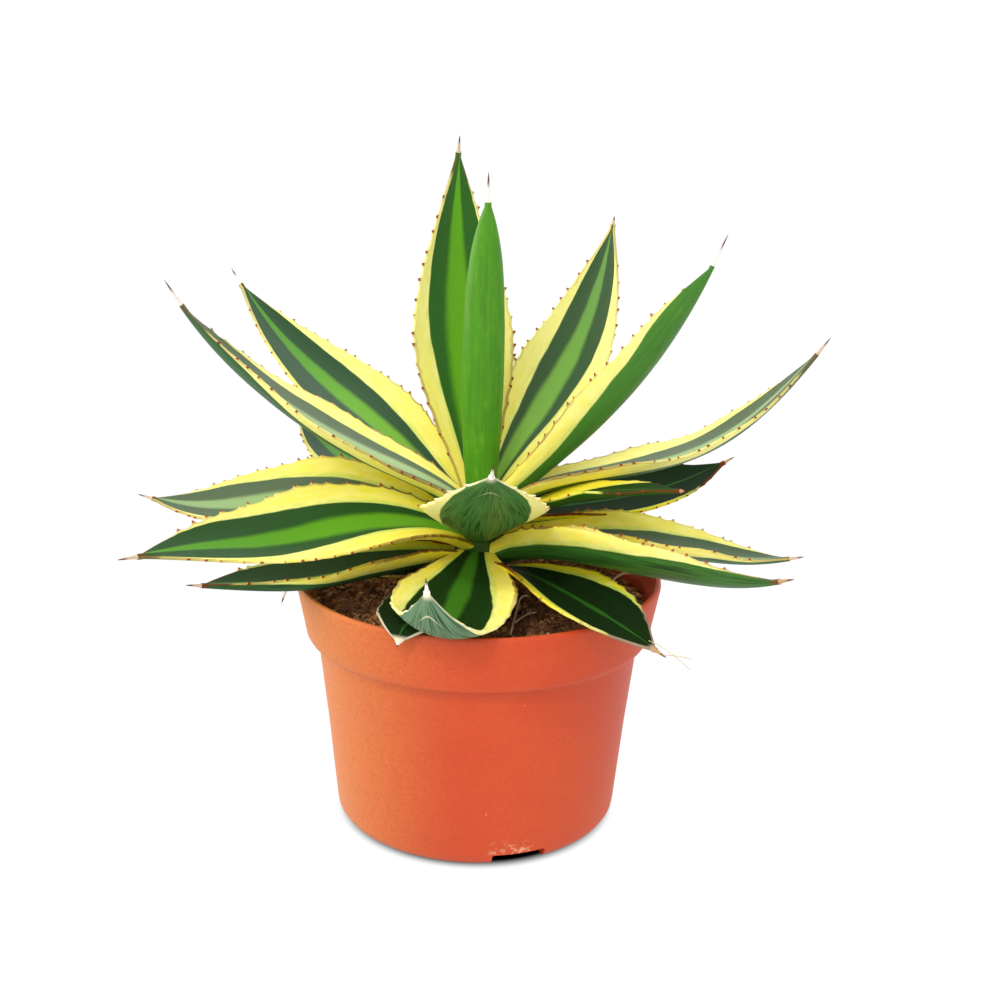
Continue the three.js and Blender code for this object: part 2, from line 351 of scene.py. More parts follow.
# The rows are the same as the solid leaves', in mm and degrees. base: the side of the crown that a leaf grows
# from, and its height there. turn, rise, roll and cup: its angles from base to tip. point: how full the blade
# stays towards the tip.
leaves = {
    "02": dict(base=(-84, 108), turn=(-84, -84), rise=(86, 84, 85, 88, 92),
               roll=(0, 0), cup=(70, 150, 150, 100), length=99.5, width=32, spine=9, point=2.4),
    "01": dict(base=(104, 110), turn=(106, 118), rise=(66, 64, 72, 88, 99),
               roll=(-22, 6), cup=(60, 40, 44), length=115.5, width=37, spine=5.5, point=1.5),
    "03": dict(base=(57, 107), turn=(56, 53), rise=(48, 36, 42, 60, 76),
               roll=(22, 18), cup=(85, 47, 50), length=117, width=34, spine=3, point=1.6),
    "04": dict(base=(2, 107), turn=(2, 5), rise=(33, 41, 49, 57, 66),
               roll=(-12, -30, -32), cup=(90, 58, 75), length=108, width=32, spine=11, point=2.3),
    "12": dict(base=(190, 106), turn=(190, 193), rise=(36, 26, 34, 44, 58),
               roll=(-14, 2), cup=(56, 37, 48), length=116, width=33, spine=9),
    "13": dict(base=(145, 104), turn=(145, 144), rise=(25, 31, 26, 35, 48),
               roll=(-13, -5), cup=(60, 38, 38), length=125, width=38, spine=7, point=1.55),
    "11": dict(base=(-88, 98), turn=(-88, -86), rise=(20, 24, 32, 40),
               roll=(0, 0), cup=(60, 26, 18), length=88, width=40, spine=8),
    "05": dict(base=(6, 104), turn=(6, 5), rise=(38, 10, 16, 40, 53),
               roll=(-10, 0), cup=(56, 35, 30), length=124, width=30, spine=7),
    "20": dict(base=(78, 102), turn=(78, 80), rise=(26, 20, 12, 14, 24),
               roll=(6, 0), cup=(70, 44, 38), length=108, width=34, spine=6),
    "19": dict(base=(-24, 99), turn=(-24, -24), rise=(32, 26, 12, 8),
               roll=(-4, -4), cup=(56, 24, 20), length=70, width=29, spine=2),
    "14": dict(base=(168, 98), turn=(168, 163), rise=(18, 6, -8, -8, 9),
               roll=(-10, -24, -22), cup=(62, 40, 30), length=118, width=36, spine=6),
    "17": dict(base=(132, 99.5), turn=(132, 134), rise=(12, 4, 8, 40),
               roll=(-8, -14), cup=(70, 44, 36), length=104, width=34, spine=5),
    "07": dict(base=(-3, 95), turn=(-3, -2), rise=(2, 0, -4, -6, 10),
               roll=(4, 0), cup=(80, 60, 44), length=100, width=33, spine=5),
    "06": dict(base=(34, 101), turn=(33, 30), rise=(4, -2, 6, 20),
               roll=(12, 18), cup=(56, 36, 31), length=101.5, width=33, spine=5),
    "15": dict(base=(213, 94), turn=(213, 216), rise=(34, 12, -2, 6, 1),
               roll=(-22, -24), cup=(56, 36, 32), length=118, width=36, spine=6),
    "21": dict(base=(114, 93), turn=(114, 116), rise=(20, 8, -2, 2, 8),
               roll=(-6, 0), cup=(70, 44, 38), length=104, width=34, spine=6),
    "23": dict(base=(58, 92), turn=(58, 56), rise=(14, 2, -6, -2, 8),
               roll=(8, 0), cup=(70, 46, 40), length=98, width=33, spine=6),
    "16": dict(base=(200, 89), turn=(200, 202), rise=(6, -4, -6, 5, 8),
               roll=(6, -4), cup=(80, 54, 60), length=90, width=34, spine=5),
    "08": dict(base=(-38, 88), turn=(-38, -44), rise=(32, 8, 4, 8, 22),
               roll=(-26, -28), cup=(75, 55, 55), length=114, width=34, spine=5),
    "22": dict(base=(94, 86), turn=(92, 90), rise=(8, 2, -3, -2, 6),
               roll=(4, 0), cup=(70, 44, 38), length=92, width=33, spine=5),
    "10": dict(base=(-99, 92), turn=(-99, -99, -100, -101), rise=(-6, -9, -7, -3, 8, 48, 72),
               roll=(0, -2, -16), cup=(32, 26), length=88, width=40, spine=5),
    "09": dict(base=(-46, 85), turn=(-46, -62), rise=(17, -1, -2, -2),
               roll=(-20, 20), cup=(56, 36, 30), length=86, width=31, spine=6),
    "24": dict(base=(-114, 82), turn=(-110, -110), rise=(5, 4, 4, 4, 4, 4, 4, 3, -52),
               roll=(0, 0), cup=(30, 10), length=64, width=30, spine=1.5, point=4),
    "18": dict(base=(194, 83.1), turn=(194, 194), rise=(6, 5, 4, 3, 3, 2, 2, -2, -72),
               roll=(0, 0), cup=(40, 30), length=63.5, width=14, spine=5),
}

# How each leaf looks. age: 0 in the heart to 1 on the soil. bloom: grey wax and pale teeth. green: how much
# further out its green goes, and left: the same near the base of its left half. cream: how pale its margins
# are. stripe: half the width of its light stripe. slate: blue grey of its dark bands. sheen: pale light on
# its green. ivory: how white its spine is. teeth: their size.
usualLooks = dict(bloom=0, green=0, left=0, slate=0, sheen=0, ivory=0.3, teeth=1)
leafLooks = {
    "02": dict(age=0, green=0.3, cream=1, stripe=0.3, ivory=1, teeth=0.6),
    "01": dict(age=0, green=0.06, cream=0.85, stripe=0.34),
    "03": dict(age=0.1, green=-0.07, left=0.04, cream=0.9, stripe=0.25, slate=0.6, sheen=0.1),
    "04": dict(age=0, green=0.02, cream=0.8, stripe=0.25, slate=0.3, ivory=1),
    "12": dict(age=0.35, green=0.08, cream=0.95, stripe=0.3, slate=0.7, sheen=0.45, ivory=0.8, teeth=0.8),
    "13": dict(age=0.2, left=0.58, cream=0.75, stripe=0.24, slate=0.6, ivory=1, teeth=0.8),
    "11": dict(age=0.55, bloom=0.5, green=0.04, cream=1, stripe=0.2, slate=0.1, ivory=1),
    "05": dict(age=0.3, green=0.04, cream=0.9, stripe=0.25, slate=0.7, sheen=0.4, teeth=0.7),
    "20": dict(age=0.3, cream=0.5, stripe=0.22, slate=0.4),
    "19": dict(age=0.75, green=0.3, left=-1.2, cream=0.1, stripe=0.05, ivory=0, teeth=0.6),
    "14": dict(age=0.45, cream=0.45, stripe=0.34, slate=0.7, sheen=0.3),
    "17": dict(age=0.5, cream=0.4, stripe=0.2, slate=0.6),
    "07": dict(age=0.5, green=-0.03, cream=0.45, stripe=0.2, slate=0.6, sheen=0.25),
    # leaf 06 is set fully old so that its near-black face paints the shade it lies in under leaf 05
    "06": dict(age=1, green=0.18, cream=0, stripe=0.05, ivory=0, teeth=0.8),
    "15": dict(age=0.45, green=0.03, left=-0.25, cream=0.5, stripe=0.28, slate=0.2),
    "21": dict(age=0.5, cream=0.4, stripe=0.22, slate=0.4),
    "23": dict(age=0.6, cream=0.4, stripe=0.2, slate=0.3),
    "16": dict(age=0.6, green=0.1, cream=0.4, stripe=0.18, slate=0.6, sheen=0.15, teeth=0.8),
    "08": dict(age=0.6, green=0.03, cream=0.6, stripe=0.24, slate=0.2, ivory=0),
    "22": dict(age=0.8, cream=0.3, stripe=0.16, slate=0.3),
    "10": dict(age=0.85, bloom=1, green=0.12, left=-0.12, cream=0.6, stripe=0.2, ivory=1, teeth=0.35),
    "09": dict(age=1, bloom=0.1, green=0.17, cream=0.1, stripe=0.08, ivory=0, teeth=0.4),
    "24": dict(age=1, bloom=0.7, green=0.4, cream=0.6, stripe=0.1, ivory=1, teeth=0.2),
    "18": dict(age=1, bloom=0.5, green=0.2, cream=0.5, stripe=0.1, ivory=1, teeth=0.2),
}
oldLeaves = ("06", "09", "10", "16", "18", "19", "22", "23", "24")  # duller, so their dark bands stay dark

leafShape = {
    "rootRadius": 3, "spineRadius": 0.9, "neckShare": 0.3, "bellyPlace": 0.47, "neckPower": 1.25,
    "usualPoint": 1.75, "usualWidth": 34, "edgeThickness": 0.8, "rootThickness": 4.6,
    "bladeThickness": 3, "tipThickness": 1.7, "fleshyShare": 0.3, "leastSwell": 0.2, "thickest": 6,
    "steps": 120, "plainRows": (0, 0.03, 0.06, 0.09, 0.925, 0.95, 0.97, 0.985, 1), "closestRows": 0.12,
}
# height, halfLength, hook, scallop, tipThickness, pitch and rows in mm. stray: how far at most a tooth sits
# from its even place, as a share of the pitch. taper: more than 1 makes a tooth thin towards its tip.
toothShape = {
    "pitch": 5.4, "height": 1.1, "halfLength": 0.8, "hook": 0.5, "scallop": 0.45, "tipThickness": 0.2,
    "first": 0.12, "last": 0.9, "rows": (-0.95, -0.5, -0.2, 0, 0.2, 0.5, 0.95),
    "starts": {1: 0, -1: 0.5}, "stray": 0.32, "sizes": (0.3, 1.15), "taper": 1.3, "leastReach": 0.3,
    "hornGain": 1.6, "scallopEase": 6, "scallopFrom": 0.9, "scallopPower": 8,
}
spineShape = {
    "rows": (0.1, 0.25, 0.45, 0.65, 0.85, 1), "rootShare": 0.62, "taper": 0.8,
    "tipRadius": 0.05, "flatness": 0.6,
}
# each edge of a leaf ripples by itself: start, turns along the leaf and height in mm, drawn between these
edgeRipple = {"start": (0, 6), "rate": (2.2, 3.6), "height": (0.2, 0.7)}
# where the columns of a leaf's grid lie, from one edge to the other
acrossLeaf = (-1, -0.95, -0.87, -0.76, -0.62, -0.47, -0.31, -0.15, 0,
              0.15, 0.31, 0.47, 0.62, 0.76, 0.87, 0.95, 1)


def along(values, s):  # a smooth run through evenly spaced values
    last = len(values) - 1
    i = min(int(s * last), last - 1)
    t = s * last - i
    p1, p2 = values[i], values[i + 1]
    p0 = values[i - 1] if i > 0 else 2 * p1 - p2
    p3 = values[i + 2] if i + 2 <= last else 2 * p2 - p1
    return 0.5 * (2 * p1 + (p2 - p0) * t + (2 * p0 - 5 * p1 + 4 * p2 - p3) * t * t
                  + (3 * p1 - p0 - 3 * p2 + p3) * t * t * t)


def halfWidth(leaf, s):
    shape = leafShape
    if s < shape["bellyPlace"]:
        swell = math.sin(s / shape["bellyPlace"] * math.pi / 2) ** shape["neckPower"]
        share = shape["neckShare"] + (1 - shape["neckShare"]) * swell
    else:
        beyond = (s - shape["bellyPlace"]) / (1 - shape["bellyPlace"])
        share = 1 - beyond ** leaf.get("point", shape["usualPoint"])
    return max(leaf["width"] / 2 * share, shape["spineRadius"])


def thicknessAt(leaf, s, v):
    shape = leafShape
    root, blade, tip, edge = (shape[part + "Thickness"] for part in ("root", "blade", "tip", "edge"))
    if s < shape["fleshyShare"]:
        mid = root + (blade - root) * s / shape["fleshyShare"]
    else:
        run = (s - shape["fleshyShare"]) / (1 - shape["fleshyShare"])
        mid = blade + (tip - blade) * run
    mid *= leaf["width"] / shape["usualWidth"]
    return edge + max(mid - edge, shape["leastSwell"]) * (1 - v * v)


def heading(leaf, s):
    rise, turn = math.radians(along(leaf["rise"], s)), math.radians(along(leaf["turn"], s))
    return Vector((math.cos(rise) * math.cos(turn), math.cos(rise) * math.sin(turn), math.sin(rise)))


def midrib(leaf, stations):  # place, ahead, side and above at each station
    turn, height = leaf["base"]
    radius = leafShape["rootRadius"]
    place = Vector((radius * math.cos(math.radians(turn)), radius * math.sin(math.radians(turn)), height))
    frames = []
    s = 0
    for station in stations:
        steps = max(math.ceil((station - s) * leafShape["steps"]), 1)
        step = (station - s) / steps
        for _ in range(steps):
            place = place + heading(leaf, s + step / 2) * (step * leaf["length"])
            s += step
        ahead = heading(leaf, station)
        turn = math.radians(along(leaf["turn"], station))
        side = Vector((-math.sin(turn), math.cos(turn), 0))
        side = Quaternion(ahead, math.radians(along(leaf["roll"], station))) @ side
        frames.append((place.copy(), ahead, side, ahead.cross(side)))
    return frames


def toothCentres(leaf, dice):  # one list for each edge, the two edges out of step
    pitch = toothShape["pitch"] / leaf["length"]
    stray = toothShape["stray"]
    edges = {}
    for edge, start in toothShape["starts"].items():
        centres = []
        s = toothShape["first"] + start * pitch
        while s < toothShape["last"]:
            centres.append((s + dice.uniform(-stray, stray) * pitch, dice.uniform(*toothShape["sizes"])))
            s += pitch
        edges[edge] = centres
    return edges


def leafStations(leaf, teeth):
    rows = list(leafShape["plainRows"])
    for centres in teeth.values():
        for centre, _ in centres:
            rows += [centre + offset / leaf["length"] for offset in toothShape["rows"]]
    kept = []
    for s in sorted(rows):
        if not kept or (s - kept[-1]) * leaf["length"] > leafShape["closestRows"]:
            kept.append(s)
    kept[-1] = 1
    return kept


def toothReach(leaf, centres, s):
    # reach: how far a tooth pushes the edge out. scallop: 1 at a tooth to 0 between two. Both are shares.
    reach, scallop = 0, 0
    for centre, size in centres:
        away = abs(s - centre) * leaf["length"]
        if away < toothShape["halfLength"]:
            reach = max(reach, size * (1 - away / toothShape["halfLength"]) ** toothShape["taper"])
        if away < toothShape["pitch"] / 2:
            scallop = 0.5 + 0.5 * math.cos(2 * math.pi * away / toothShape["pitch"])
    return reach, scallop


def bladePoint(leaf, teethSize, centres, s, v):
    # half the width, the thickness, a tooth's push in mm, and how much of it is horn
    half = halfWidth(leaf, s)
    thick = thicknessAt(leaf, s, v)
    reach, scallop = toothReach(leaf, centres, s)
    reach *= min(1, teethSize + toothShape["leastReach"])
    push = toothShape["height"] * reach * teethSize
    horn = 0
    if abs(v) > toothShape["scallopFrom"]:
        eased = min(1, toothShape["scallopEase"] * s) * min(1, toothShape["scallopEase"] * (1 - s))
        half -= toothShape["scallop"] * (1 - scallop) * eased * abs(v) ** toothShape["scallopPower"]
    if abs(v) == 1:
        horn = min(1, reach * toothShape["hornGain"])
        thick += (toothShape["tipThickness"] - thick) * min(reach, 1)
    return half, thick, push, horn


def spinePoint(t, v):  # the same four for the spine past the blade's tip
    half = spineShape["rootShare"] * leafShape["spineRadius"] * (1 - t) ** spineShape["taper"]
    half += spineShape["tipRadius"]
    return half, 2 * half * (1 - spineShape["flatness"] * v * v), 0, 0


def thickened(piece, groupName):
    solid = piece.modifiers.new("flesh", "SOLIDIFY")
    solid.thickness = leafShape["thickest"] * mm
    solid.offset = 0
    solid.vertex_group = groupName
    solid.material_offset = 1
    pick(piece)
    bpy.ops.object.modifier_apply(modifier="flesh")
    piece.vertex_groups.clear()


def makeLeaf(number, leaf, materials):
    dice = random.Random(number)
    teeth = toothCentres(leaf, dice)
    stations = leafStations(leaf, teeth)
    frames = midrib(leaf, stations)
    looks = {**usualLooks, **leafLooks[number]}
    columns, rows = len(acrossLeaf), len(stations) + len(spineShape["rows"])
    ripples = {edge: [dice.uniform(*span) for span in edgeRipple.values()] for edge in (1, -1)}

    clearSelection()
    bpy.ops.mesh.primitive_grid_add(
        x_subdivisions=columns - 1, y_subdivisions=rows - 1, size=2, calc_uvs=False)
    piece = named("agaveLeaf" + number)
    mesh = piece.data
    for material in materials:
        mesh.materials.append(material)
    thickness = piece.vertex_groups.new(name="thickness")
    notes = {name: [0.0] * len(mesh.vertices) for name in ("bladeAcross", "bladeAlong", "horn")}
    for vertex in mesh.vertices:
        # the plain grid runs from -1 to 1, and tells each point its column and row
        v = acrossLeaf[round((1 - vertex.co.x) / 2 * (columns - 1))]
        row = round((vertex.co.y + 1) / 2 * (rows - 1))
        edge = 1 if v > 0 else -1
        if row < len(stations):
            s = mark = stations[row]
            place, ahead, side, above = frames[row]
            half, thick, push, horn = bladePoint(leaf, looks["teeth"], teeth[edge], s, v)
        else:
            t = spineShape["rows"][row - len(stations)]
            s, mark = 1, 1 + t
            place, ahead, side, above = frames[-1]
            place = place + ahead * (leaf["spine"] * t)
            half, thick, push, horn = spinePoint(t, v)
        cup = math.radians(along(leaf["cup"], s))
        curl = cup * v
        sideways = half * math.sin(curl) / cup
        upward = half * (1 - math.cos(curl)) / cup
        start, rate, height = ripples[edge]
        ripple = height * math.sin(start + rate * 2 * math.pi * s) * abs(v) ** 3 * math.sin(math.pi * s)
        where = place + side * sideways + above * (upward + ripple)
        if abs(v) == 1 and push:
            out = (side * math.cos(curl) + above * math.sin(curl)) * v
            where = where + out * push + ahead * (toothShape["hook"] * push / toothShape["height"])
        vertex.co = where * mm
        thickness.add([vertex.index], thick / leafShape["thickest"], "REPLACE")
        for name, value in (("bladeAcross", v), ("bladeAlong", mark), ("horn", horn)):
            notes[name][vertex.index] = value
    notes["tone"] = [dice.random()] * len(mesh.vertices)
    for name in ("age", "bloom", "green", "left", "cream", "stripe", "slate", "sheen", "ivory"):
        notes[name] = [looks[name]] * len(mesh.vertices)
    for name, values in notes.items():
        mesh.attributes.new(name, "FLOAT", "POINT").data.foreach_set("value", values)
    thickened(piece, "thickness")
    smoothed(piece)
    return finished(piece, "leaf_flesh", "leaf_" + number)


# Leaf materials

leafColours = {
    "stripe": tone(92, 162, 18), "stripeOld": tone(44, 92, 30), "stripeLight": tone(150, 200, 60),
    # the near-black of old leaves' dark bands is made dark enough to also paint the shade on leaf 06
    "deep": tone(42, 98, 22), "deepOldAndShade": tone(15, 24, 12), "slate": tone(40, 62, 50),
    "lime": tone(190, 210, 70), "yellow": tone(248, 230, 44), "cream": tone(254, 246, 150),
    "brown": tone(116, 56, 26), "pale": tone(240, 230, 198), "thorn": tone(150, 58, 28),
    "spineRoot": tone(244, 236, 226), "spineTan": tone(190, 150, 106), "spineTip": tone(96, 48, 40),
    "under": tone(90, 158, 26), "underDeep": tone(60, 126, 26), "underPale": tone(128, 182, 50),
    "underOld": tone(48, 92, 34), "bloom": tone(122, 152, 122), "lines": tone(20, 46, 22),
    "sheen": tone(186, 200, 158), "shadeGreen": tone(50, 84, 62),
}
# scale across and along a leaf, detail and roughness of the noise for each kind of grain
leafGrain = {
    "Wobble": (1.2, 7.0, 2.0, 0.55), "Streak": (34.0, 2.6, 3.0, 0.55), "Mottle": (7.0, 16.0, 4.0, 0.6),
    "Lines": (46.0, 5.0, 1.0, 0.55),
}
# where each mask starts and ends, and for some its strength at the start and the end
leafEases = {
    "lines": (0.5, 0.62), "brownEdge": (0.95, 0.98), "brownBase": (0.25, 0.6, 1.0, 0.15),
    "brownOutward": (0.6, 0.97, 0.1, 0.75), "brownTip": (0.965, 1.0, 0.0, 1.4), "thorn": (0.15, 0.8),
    "spineTip": (1.4, 1.75), "paleOutward": (0.45, 0.7), "lime": (0.03, 0.16),
    "creamSpots": (0.3, 0.75, -0.25, 0.25), "border": (-0.015, 0.02), "underPale": (0.6, 0.8),
    "underLines": (0.0, 0.7, 0.15, 0.85), "budPrint": (0.002, 0.007, 0.6, 0.0),
    "budPrintEnds": (0.2, 0.5, 1.0, 0.0), "rough": (0.2, 0.8),
}
# how far out the green goes on each face, from 0 at the midrib to 1 at the edge
greenReach = {"upper": 0.47, "under": 0.52}
# how the green widens and its border wanders, where the spine starts, and how strongly colours cover others
leafShares = {
    "toneShift": 37.0, "greenWander": 0.09, "brownWander": 0.14, "widenFrom": 0.1, "widenGain": 1.17,
    "widening": 0.5, "leastBrown": 0.6, "spineFrom": 1.001, "creamFrom": 0.45, "creamGain": 0.8,
    "streak": 0.3, "deepSheen": 0.4, "lightSheen": 1.5, "brightUntil": 0.7, "dullFrom": 0.45,
    "stripeRoot": 1.1, "stripeTaper": 0.4, "stripeInside": 0.55, "stripeOutside": 1.2,
    "printBend": 0.3, "printPlace": 0.9, "underPale": 0.5, "underOld": 0.9, "underBloom": 0.75,
}
# shine, roughness of the upper face and of the face below. spread: how much rougher the roughest streaks are.
leafFinish = {"fresh": (0.22, 0.38, 0.4), "old": (0.04, 0.55, 0.55), "spread": 0.12}
leafBump = {"upper": (0.25, 0.0004), "under": (0.2, 0.0003)}


def ease(tree, value, name):
    return easeBetween(tree, value, *leafEases[name])


def paint(tree, factor, a, b):  # a blend of two colours, each given as a socket or by its name
    a, b = (leafColours[given] if isinstance(given, str) else given for given in (a, b))
    return blendColours(tree, factor, a, b)


def leafGrainGroup():
    tree, takes, gives = newGroup("leafGrain", ("Along", "Across", "Tone"), tuple(leafGrain))
    shift = times(tree, takes["Tone"], leafShares["toneShift"])
    made = {}
    for name, (acrossScale, alongScale, detail, roughness) in leafGrain.items():
        x = times(tree, takes["Across"], acrossScale)
        y = times(tree, takes["Along"], alongScale)
        made[name] = noiseAt(tree, vectorOf(tree, x, y, shift), 1.0, detail, roughness)
    fill(tree, gives["Wobble"], minus(tree, made["Wobble"], 0.5))
    fill(tree, gives["Streak"], made["Streak"])
    fill(tree, gives["Mottle"], made["Mottle"])
    fill(tree, gives["Lines"], ease(tree, made["Lines"], "lines"))
    return tree


def hornGroup():
    # masks that both faces of a leaf share: brown edges, teeth and the spine's own colours
    tree, takes, gives = newGroup(
        "leafHorn", ("Along", "Across", "Horn", "Age", "Mottle"), ("Brown", "Thorn", "Spine", "SpineTip"))
    mottle = times(tree, minus(tree, takes["Mottle"], 0.5), leafShares["brownWander"])
    side = plus(tree, maths(tree, "ABSOLUTE", takes["Across"]), mottle)
    atBase = ease(tree, takes["Along"], "brownBase")
    worn = maths(tree, "MAXIMUM", atBase, ease(tree, takes["Along"], "brownOutward"))
    aged = plus(tree, leafShares["leastBrown"], times(tree, takes["Age"], 1 - leafShares["leastBrown"]))
    tip = times(tree, ease(tree, takes["Along"], "brownTip"), takes["Age"], clamp=True)
    brown = times(tree, times(tree, ease(tree, side, "brownEdge"), worn), aged)
    fill(tree, gives["Brown"], maths(tree, "MAXIMUM", brown, tip))
    fill(tree, gives["Thorn"], ease(tree, takes["Horn"], "thorn"))
    fill(tree, gives["Spine"], maths(tree, "GREATER_THAN", takes["Along"], leafShares["spineFrom"]))
    fill(tree, gives["SpineTip"], ease(tree, takes["Along"], "spineTip"))
    return tree


def leafNotes(tree, face):  # what both faces of a leaf read from it
    s, across, age = attribute(tree, "bladeAlong"), attribute(tree, "bladeAcross"), attribute(tree, "age")
    grain = useGroup(tree, leafGroups["grain"], Along=s, Across=across, Tone=attribute(tree, "tone"))
    horn = useGroup(tree, leafGroups["horn"], Along=s, Across=across, Horn=attribute(tree, "horn"), Age=age,
                    Mottle=grain["Mottle"])
    wander = times(tree, grain["Wobble"], leafShares["greenWander"])
    side = plus(tree, maths(tree, "ABSOLUTE", across), wander)
    run = times(tree, minus(tree, s, leafShares["widenFrom"]), leafShares["widenGain"], clamp=True)
    border = times(tree, maths(tree, "POWER", run, 2.0), leafShares["widening"])
    border = plus(tree, border, attribute(tree, "green"))
    onLeft = times(tree, maths(tree, "GREATER_THAN", across, 0.0), attribute(tree, "left"))
    onLeft = times(tree, onLeft, minus(tree, 1.0, run))
    beyond = minus(tree, minus(tree, side, plus(tree, border, onLeft)), greenReach[face])
    return dict(s=s, across=across, age=age, grain=grain, horn=horn, side=side, run=run, beyond=beyond)


def hornColours(tree, base, horn):
    outward = ease(tree, attribute(tree, "bladeAlong"), "paleOutward")
    pale = times(tree, maths(tree, "POWER", attribute(tree, "bloom"), 0.5), outward)
    brown = paint(tree, pale, "brown", "pale")
    colour = paint(tree, horn["Brown"], base, brown)
    teeth = paint(tree, pale, "thorn", "pale")
    colour = paint(tree, horn["Thorn"], colour, teeth)
    spine = paint(tree, attribute(tree, "ivory"), "spineTan", "spineRoot")
    spine = paint(tree, horn["SpineTip"], spine, "spineTip")
    return paint(tree, horn["Spine"], colour, spine)


def yellowMargin(tree, notes):
    lime = ease(tree, notes["beyond"], "lime")
    margin = paint(tree, lime, "lime", "yellow")
    creamy = plus(tree, attribute(tree, "cream"), ease(tree, notes["grain"]["Mottle"], "creamSpots"))
    outer = times(tree, minus(tree, notes["run"], leafShares["creamFrom"]), leafShares["creamGain"])
    creamy = plus(tree, creamy, outer, clamp=True)
    return paint(tree, creamy, margin, "cream")


def finishLeaf(tree, shader, notes, green, shine, roughness):  # margin, horn and shine over the green
    border = ease(tree, notes["beyond"], "border")
    colour = paint(tree, border, green, yellowMargin(tree, notes))
    fill(tree, shader.inputs["Base Color"], hornColours(tree, colour, notes["horn"]))
    dullest = roughness + leafFinish["spread"]
    rough = easeBetween(tree, notes["grain"]["Streak"], *leafEases["rough"], roughness, dullest)
    fill(tree, shader.inputs["Roughness"], rough)
    shader.inputs["Specular IOR Level"].default_value = shine


def upperLeafMaterial(name, shine, roughness):
    material, tree, shader = freshMaterial(name)
    notes = leafNotes(tree, "upper")
    age, run, streak = notes["age"], notes["run"], notes["grain"]["Streak"]
    slate, sheen = attribute(tree, "slate"), attribute(tree, "sheen")
    # dark bands, darker with age; their near-black at full age also paints the shade on leaf 06
    deep = paint(tree, age, "deep", "deepOldAndShade")
    deep = paint(tree, slate, deep, "slate")
    deep = paint(tree, times(tree, streak, leafShares["streak"]), deep, "stripeOld")
    deep = paint(tree, times(tree, sheen, leafShares["deepSheen"]), deep, "sheen")
    # the light stripe between them, brighter near the base and duller near the tip
    light = paint(tree, times(tree, age, age), "stripe", "stripeOld")
    bright = times(tree, slate, minus(tree, leafShares["brightUntil"], run), clamp=True)
    light = paint(tree, bright, light, "stripeLight")
    dull = times(tree, slate, minus(tree, run, leafShares["dullFrom"]), clamp=True)
    light = paint(tree, dull, light, "shadeGreen")
    glow = times(tree, sheen, leafShares["lightSheen"], clamp=True)
    light = paint(tree, glow, light, "sheen")
    taper = minus(tree, leafShares["stripeRoot"], times(tree, run, leafShares["stripeTaper"]))
    half = times(tree, attribute(tree, "stripe"), taper)
    inside, outside = (times(tree, half, leafShares[name]) for name in ("stripeInside", "stripeOutside"))
    stripe = easeBetween(tree, notes["side"], inside, outside, 1.0, 0.0)
    finishLeaf(tree, shader, notes, paint(tree, stripe, deep, light), shine, roughness)
    bumped(tree, shader, streak, *leafBump["upper"])
    return material


def budPrintMask(tree, notes):  # the pale print of a neighbour's edge, left from the time in the bud
    bend = times(tree, leafShares["printBend"], maths(tree, "POWER", notes["across"], 2.0))
    away = minus(tree, plus(tree, notes["s"], bend), leafShares["printPlace"])
    line = ease(tree, maths(tree, "ABSOLUTE", away), "budPrint")
    line = times(tree, line, ease(tree, maths(tree, "ABSOLUTE", notes["across"]), "budPrintEnds"))
    return times(tree, line, attribute(tree, "bloom"))


def underLeafMaterial(name, shine, roughness):
    material, tree, shader = freshMaterial(name)
    notes = leafNotes(tree, "under")
    age, grain = notes["age"], notes["grain"]
    green = paint(tree, grain["Mottle"], "underDeep", "under")
    pale = times(tree, ease(tree, grain["Mottle"], "underPale"), leafShares["underPale"])
    green = paint(tree, pale, green, "underPale")
    green = paint(tree, times(tree, age, leafShares["underOld"]), green, "underOld")
    green = paint(tree, attribute(tree, "slate"), green, "shadeGreen")
    bloom = maths(tree, "POWER", attribute(tree, "bloom"), 3.0)
    green = paint(tree, times(tree, bloom, leafShares["underBloom"]), green, "bloom")
    lined = times(tree, grain["Lines"], ease(tree, age, "underLines"))
    green = paint(tree, lined, green, "lines")
    green = paint(tree, budPrintMask(tree, notes), green, "pale")
    finishLeaf(tree, shader, notes, green, shine, roughness)
    bumped(tree, shader, grain["Lines"], *leafBump["under"])
    return material


def leafMaterials(ending, shine, upperRoughness, underRoughness):
    return (upperLeafMaterial("agaveUpper" + ending, shine, upperRoughness),
            underLeafMaterial("agaveUnder" + ending, shine, underRoughness))


leafGroups = {"grain": leafGrainGroup(), "horn": hornGroup()}
freshLeaf = leafMaterials("", *leafFinish["fresh"])
oldLeaf = leafMaterials("Old", *leafFinish["old"])
for number, leaf in leaves.items():
    makeLeaf(number, leaf, oldLeaf if number in oldLeaves else freshLeaf)
print("leaves ready:", len(leaves))


# Pot: a moulded nursery pot with a deep band under its lip

potShape = {  # mm and degrees
    "sides": 144,
    "profile": [
        # foot, from its middle out
        (11, 0), (11.8, 0.2), (12, 1), (37, 1), (37.2, 0.2), (38, 0), (42.6, 0),
        # wall outside, and the step under the band
        (44.7, 0.4), (46.5, 1.6), (47.6, 3.2), (48, 5.4), (50.7, 34), (53.8, 61.6), (54, 62.8),
        (54.3, 63.6), (56, 64.6), (57.2, 65.2), (57.8, 66.2),
        # band and lip
        (58, 67.4), (60.9, 82.8), (60.8, 83.7), (60.4, 84.25), (59.8, 84.4), (59.2, 84.1), (58.9, 83.2),
        # inside, down to the floor
        (56.4, 68.8), (52.4, 62.8), (47.2, 9), (43.2, 2.4), (3, 2.4),
    ],
    "slotTurn": -71.5, "slots": 3, "slotSize": (24, 18, 9.2), "slotReach": 48, "slotBevel": 0.7, "smooth": 35,
}
# the lighter orange for -X, with its mask below, is painted light from the left side
potColours = {
    "deep": tone(196, 66, 26), "light": tone(204, 76, 32), "paintedLeftLight": tone(204, 126, 60),
    "fine": tone(178, 58, 26), "scuff": tone(236, 190, 150), "speck": tone(240, 205, 180),
}
